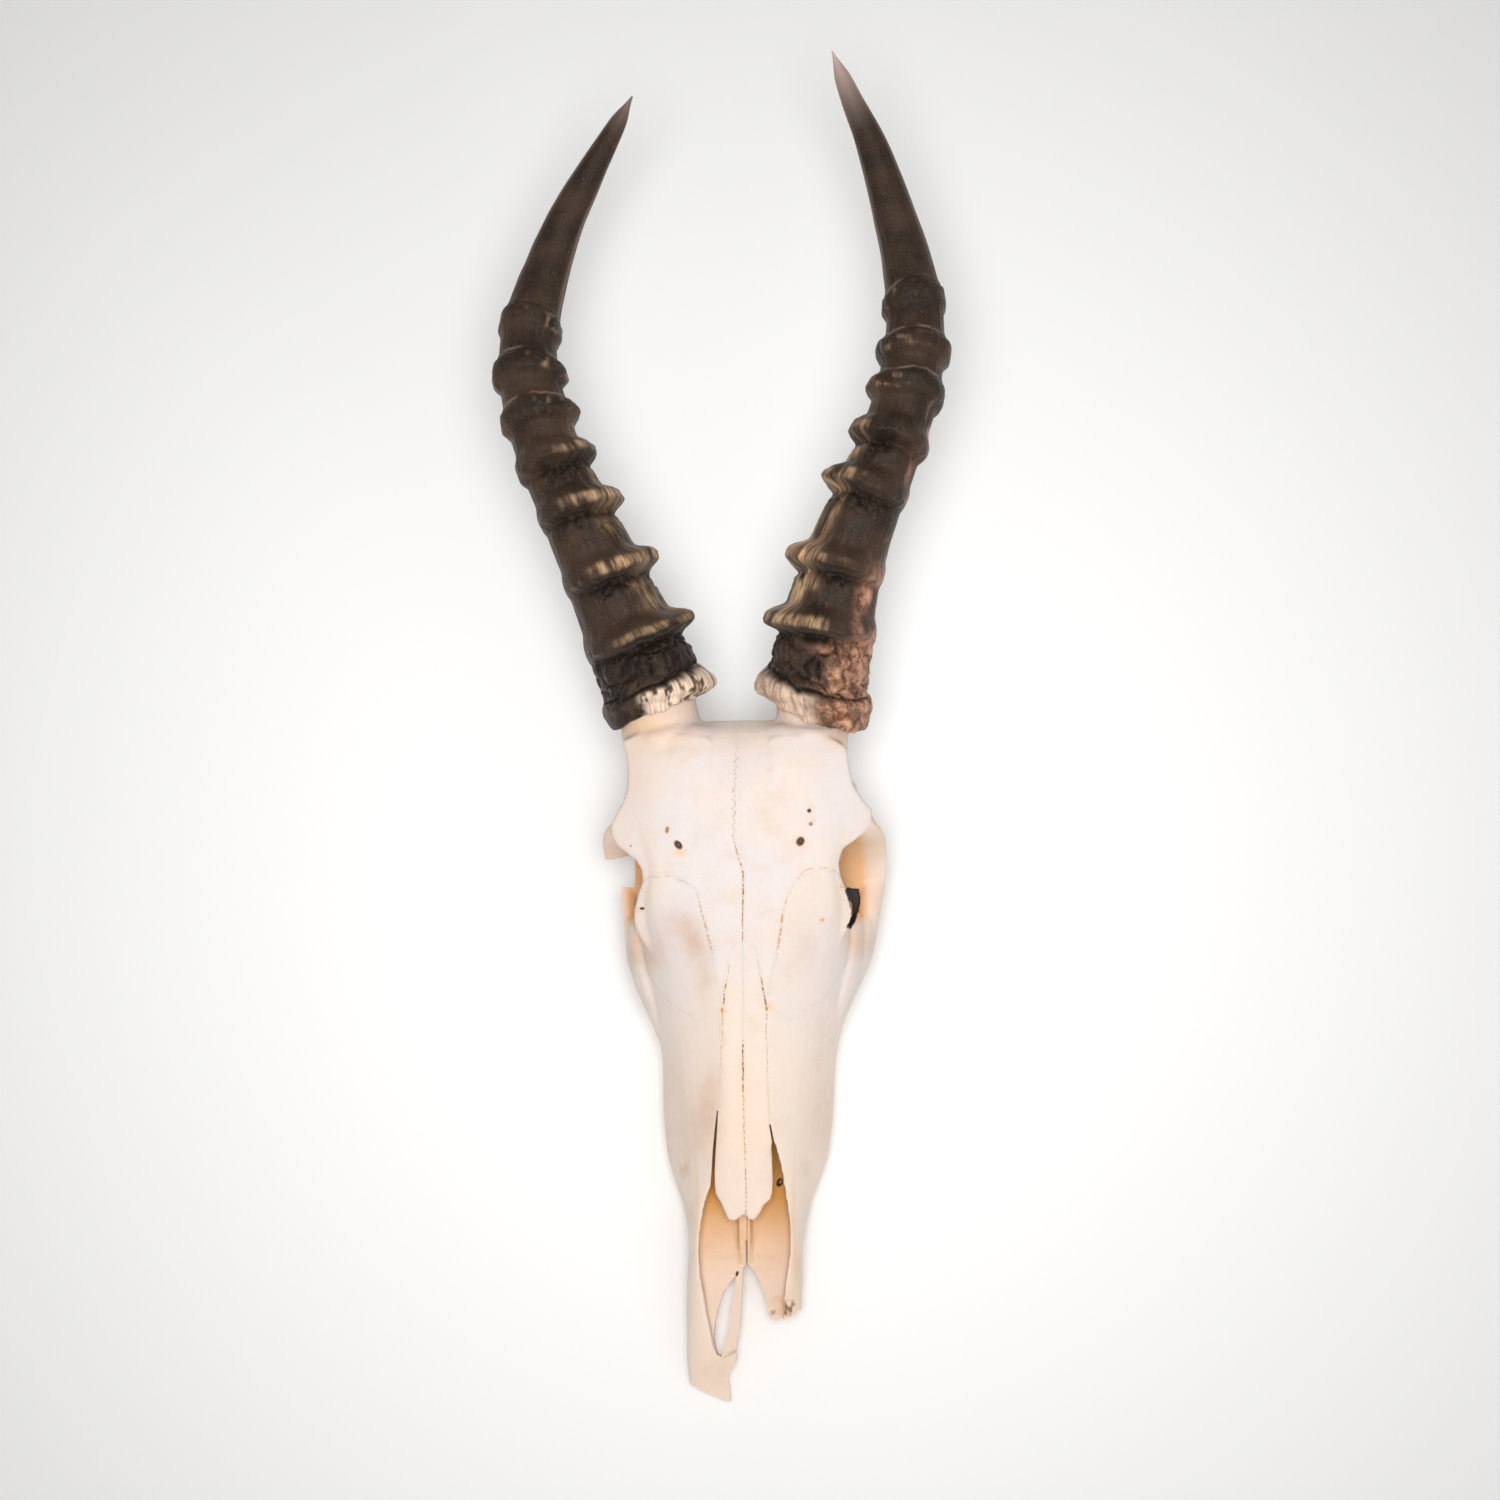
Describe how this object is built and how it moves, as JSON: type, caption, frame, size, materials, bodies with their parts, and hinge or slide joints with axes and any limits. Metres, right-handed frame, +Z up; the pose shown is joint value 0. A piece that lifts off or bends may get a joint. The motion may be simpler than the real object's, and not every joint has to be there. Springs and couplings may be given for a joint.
{
  "type": "antelope skull with horns",
  "caption": "Dry skull of a medium antelope without its lower jaw, with both ringed lyre-shaped horn sheaths, lying on its cheek teeth",
  "frame": {"origin": "middle of the plan box, on the floor that the skull lies on", "axes": "+X to the skull's own left, +Y from the muzzle to the horn tips along the floor, +Z up"},
  "size_m": [0.1906, 0.5356, 0.1732],
  "materials": {
    "bone": "satin",
    "horn": "satin"
  },
  "bodies": {
    "root": {"braincase": "bone", "frontal_left": "bone", "frontal_right": "bone", "horn_left": "horn", "horn_right": "horn", "lacrimal_left": "bone", "lacrimal_right": "bone", "maxilla_left": "bone", "maxilla_right": "bone", "nasal_left": "bone", "nasal_right": "bone", "premaxilla_left": "bone", "premaxilla_right": "bone", "vomer": "bone", "zygomatic_left": "bone", "zygomatic_right": "bone", "zygomatic_right_bar": "bone"}
  },
  "joints": []
}
